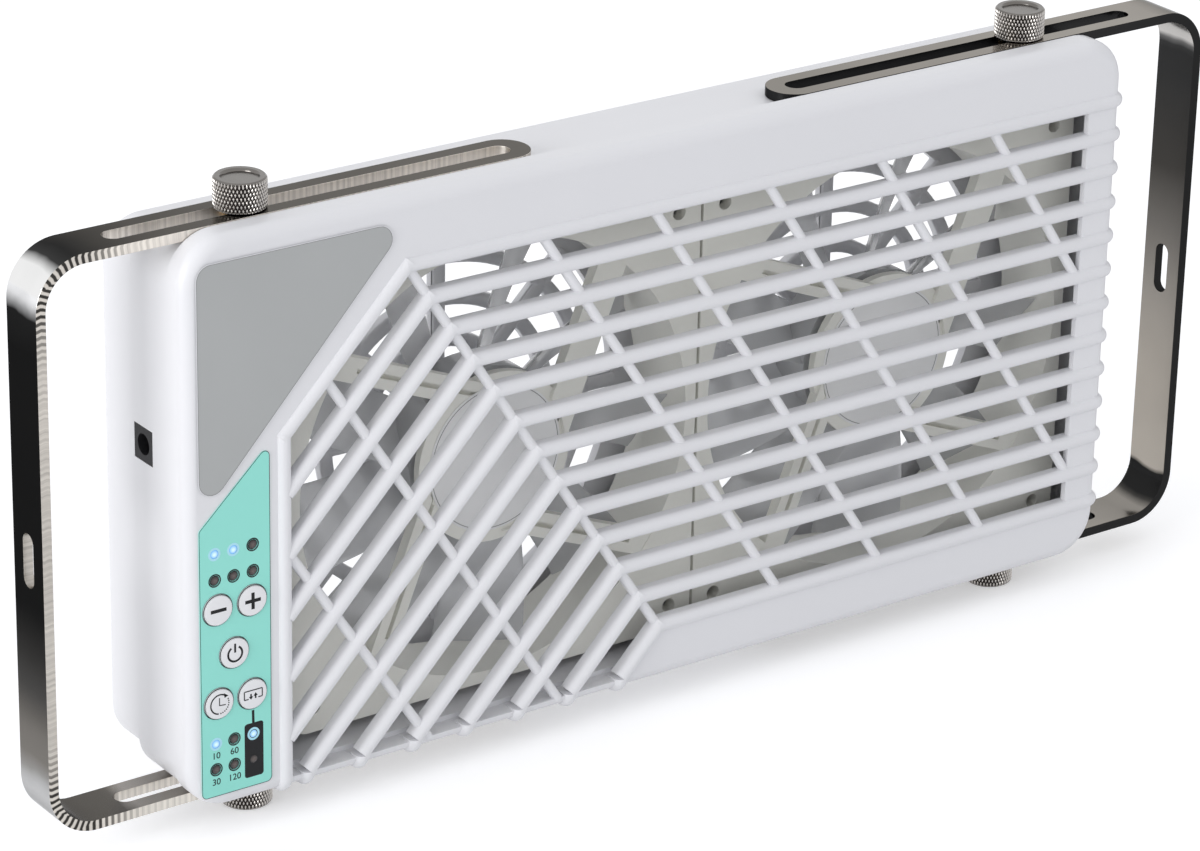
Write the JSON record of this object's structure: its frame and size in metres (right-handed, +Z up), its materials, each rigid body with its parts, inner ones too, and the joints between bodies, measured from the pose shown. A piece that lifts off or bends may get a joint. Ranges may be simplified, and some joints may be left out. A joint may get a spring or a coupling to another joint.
{
  "type": "roof vent fan",
  "caption": "Roof vent fan: white two-fan casing with a slanted louvre grille and a side control panel, held by two slotted steel strip brackets with thumb screws.",
  "frame": {"origin": "centre of the bounding box, in the middle of the casing", "axes": "+X along the casing from the control panel towards the right bracket, +Y from the front grille to the rear guard, +Z up"},
  "size_m": [0.408, 0.0474, 0.1886],
  "materials": {
    "white_abs": "satin",
    "fan_plastic": "satin",
    "blade_plastic": "satin",
    "badge": "satin",
    "label": "satin",
    "button_plastic": "gloss",
    "light_pipe": "gloss",
    "board": "satin",
    "black_plastic": "satin",
    "sticker": "satin",
    "stainless": "polished",
    "plated_steel": "satin",
    "brass": "satin",
    "magnet": "matte",
    "copper": "gloss",
    "lead_jacket": "satin"
  },
  "bodies": {
    "casing": {"front_cover": "white_abs", "rear_shell": "white_abs", "badge_plate": "badge", "control_label": "label", "control_board": "board", "board_screws": "plated_steel", "tact_switches": "black_plastic", "speed_lights": "light_pipe", "timer_lights": "light_pipe", "airflow_lights": "light_pipe", "remote_receiver": "black_plastic", "inlet_body": "black_plastic", "inlet_pin": "plated_steel", "thread_inserts": "brass", "case_screws": "plated_steel", "fan_screws": "plated_steel", "inlet_lead": "lead_jacket", "left_fan_frame": "fan_plastic", "left_bearings": "plated_steel", "left_stator_core": "plated_steel", "left_stator_coils": "copper", "left_motor_board": "board", "left_hub_sticker": "sticker", "left_fan_lead": "lead_jacket", "right_fan_frame": "fan_plastic", "right_bearings": "plated_steel", "right_stator_core": "plated_steel", "right_stator_coils": "copper", "right_motor_board": "board", "right_hub_sticker": "sticker", "right_fan_lead": "lead_jacket"},
    "left_rotor": {"left_impeller": "blade_plastic", "left_rotor_cup": "plated_steel", "left_rotor_magnet": "magnet", "left_shaft": "plated_steel", "left_shaft_clip": "plated_steel"},
    "right_rotor": {"right_impeller": "blade_plastic", "right_rotor_cup": "plated_steel", "right_rotor_magnet": "magnet", "right_shaft": "plated_steel", "right_shaft_clip": "plated_steel"},
    "left_bracket": {"left_bracket": "stainless"},
    "right_bracket": {"right_bracket": "stainless"},
    "top_left_screw": {"top_left_screw": "stainless"},
    "top_right_screw": {"top_right_screw": "stainless"},
    "bottom_left_screw": {"bottom_left_screw": "stainless"},
    "bottom_right_screw": {"bottom_right_screw": "stainless"},
    "minus_button": {"minus_button": "button_plastic"},
    "plus_button": {"plus_button": "button_plastic"},
    "power_button": {"power_button": "button_plastic"},
    "timer_button": {"timer_button": "button_plastic"},
    "airflow_button": {"airflow_button": "button_plastic"}
  },
  "joints": [
    {"name": "left_fan_spin", "type": "hinge", "parent": "casing", "child": "left_rotor", "pos_m": [-0.0545, 0.00325, -0.0065], "axis": [0, 1, 0], "continuous": true},
    {"name": "right_fan_spin", "type": "hinge", "parent": "casing", "child": "right_rotor", "pos_m": [0.0865, 0.00325, -0.0065], "axis": [0, 1, 0], "continuous": true},
    {"name": "left_bracket_slide", "type": "slide", "parent": "casing", "child": "left_bracket", "axis": [1, 0, 0], "range_m": [-0.084, 0.035]},
    {"name": "right_bracket_slide", "type": "slide", "parent": "casing", "child": "right_bracket", "axis": [1, 0, 0], "range_m": [-0.035, 0.084]},
    {"name": "top_left_screw_turn", "type": "hinge", "parent": "casing", "child": "top_left_screw", "pos_m": [-0.1365, -0.00555, 0.0853], "axis": [0, 0, 1], "range_deg": [0, 360]},
    {"name": "top_right_screw_turn", "type": "hinge", "parent": "casing", "child": "top_right_screw", "pos_m": [0.1365, -0.00555, 0.0853], "axis": [0, 0, 1], "range_deg": [0, 360]},
    {"name": "bottom_left_screw_turn", "type": "hinge", "parent": "casing", "child": "bottom_left_screw", "pos_m": [-0.1365, -0.00555, -0.0853], "axis": [0, 0, -1], "range_deg": [0, 360]},
    {"name": "bottom_right_screw_turn", "type": "hinge", "parent": "casing", "child": "bottom_right_screw", "pos_m": [0.1365, -0.00555, -0.0853], "axis": [0, 0, -1], "range_deg": [0, 360]},
    {"name": "minus_press", "type": "slide", "parent": "casing", "child": "minus_button", "axis": [0, 1, 0], "range_m": [0, 0.0004], "stiffness_N_per_m": 1500},
    {"name": "plus_press", "type": "slide", "parent": "casing", "child": "plus_button", "axis": [0, 1, 0], "range_m": [0, 0.0004], "stiffness_N_per_m": 1500},
    {"name": "power_press", "type": "slide", "parent": "casing", "child": "power_button", "axis": [0, 1, 0], "range_m": [0, 0.0004], "stiffness_N_per_m": 1500},
    {"name": "timer_press", "type": "slide", "parent": "casing", "child": "timer_button", "axis": [0, 1, 0], "range_m": [0, 0.0004], "stiffness_N_per_m": 1500},
    {"name": "airflow_press", "type": "slide", "parent": "casing", "child": "airflow_button", "axis": [0, 1, 0], "range_m": [0, 0.0004], "stiffness_N_per_m": 1500}
  ]
}
